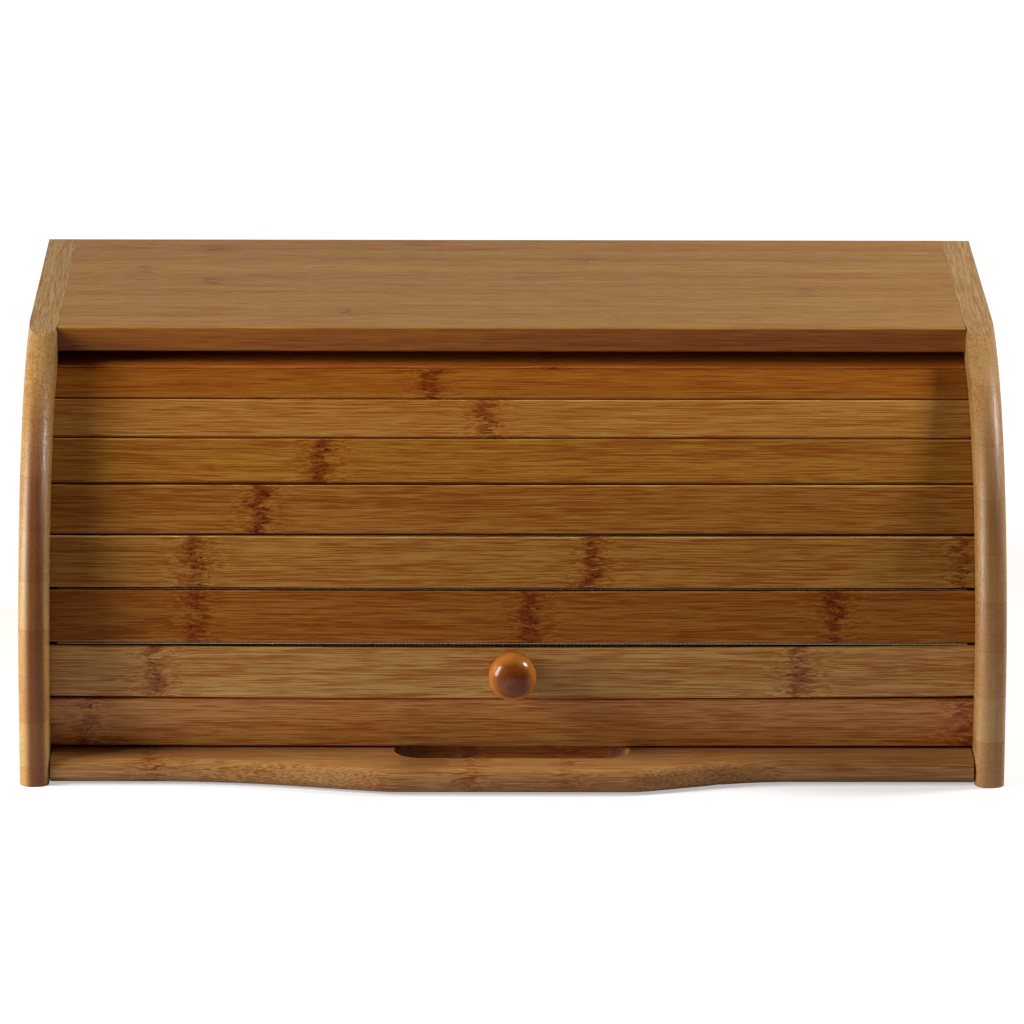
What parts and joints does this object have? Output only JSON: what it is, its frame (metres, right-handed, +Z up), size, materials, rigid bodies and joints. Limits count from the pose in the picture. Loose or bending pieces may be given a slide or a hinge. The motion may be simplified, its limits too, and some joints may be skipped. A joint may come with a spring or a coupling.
{
  "type": "roll-top bread box with drawer",
  "caption": "Bamboo bread box with a roll-up slatted door on a canvas backing, a turned knob and a shallow pull-out crumb drawer under a slatted floor.",
  "frame": {"origin": "under the middle of the whole box, on the surface that it stands on", "axes": "+Z up, +X to the right seen from the front, the front towards -Y"},
  "size_m": [0.4, 0.2814, 0.166],
  "materials": {
    "panel_bamboo": "satin lacquer on carbonised bamboo, end grain along the rounded front edge",
    "board_bamboo": "satin lacquer on carbonised bamboo, fine straight grain across the box",
    "slat_bamboo": "satin lacquer on carbonised bamboo strips with darker growth nodes",
    "floor_bamboo": "thin satin lacquer on carbonised bamboo",
    "drawer_bamboo": "satin lacquer on carbonised bamboo",
    "runner_bamboo": "sanded bare bamboo",
    "dowel_wood": "fluted hardwood dowel",
    "knob_wood": "gloss lacquer on turned hardwood",
    "canvas": "dark plain-woven canvas glued to the slats",
    "steel": "zinc-plated steel"
  },
  "bodies": {
    "case": {"left_side_panel": "panel_bamboo", "right_side_panel": "panel_bamboo", "top_board": "board_bamboo", "back_panel": "board_bamboo", "case_dowels": "dowel_wood", "floor_slat_01": "floor_bamboo", "floor_slat_02": "floor_bamboo", "floor_slat_03": "floor_bamboo", "floor_slat_04": "floor_bamboo", "floor_slat_05": "floor_bamboo", "floor_slat_06": "floor_bamboo", "floor_slat_07": "floor_bamboo", "floor_slat_08": "floor_bamboo", "floor_slat_09": "floor_bamboo", "floor_slat_10": "floor_bamboo", "left_drawer_runner": "runner_bamboo", "right_drawer_runner": "runner_bamboo"},
    "roll_door": {"door_slat_01": "slat_bamboo", "door_slat_02": "slat_bamboo", "door_slat_03": "slat_bamboo", "door_slat_04": "slat_bamboo", "door_slat_05": "slat_bamboo", "door_slat_06": "slat_bamboo", "door_slat_07": "slat_bamboo", "door_slat_08": "slat_bamboo", "door_slat_09": "slat_bamboo", "door_slat_10": "slat_bamboo", "canvas_backing": "canvas", "knob": "knob_wood", "knob_washer": "steel", "knob_screw": "steel"},
    "drawer": {"drawer_front": "drawer_bamboo", "drawer_left_rail": "drawer_bamboo", "drawer_right_rail": "drawer_bamboo", "drawer_back_rail": "drawer_bamboo", "drawer_bottom": "drawer_bamboo", "drawer_pins": "dowel_wood"}
  },
  "joints": [
    {"name": "door_roll", "type": "hinge", "parent": "case", "child": "roll_door", "pos_m": [0, 0.0042, 0.038], "axis": [-1, 0, 0], "range_deg": [0, 69]},
    {"name": "drawer_slide", "type": "slide", "parent": "case", "child": "drawer", "axis": [0, -1, 0], "range_m": [0, 0.18]}
  ]
}
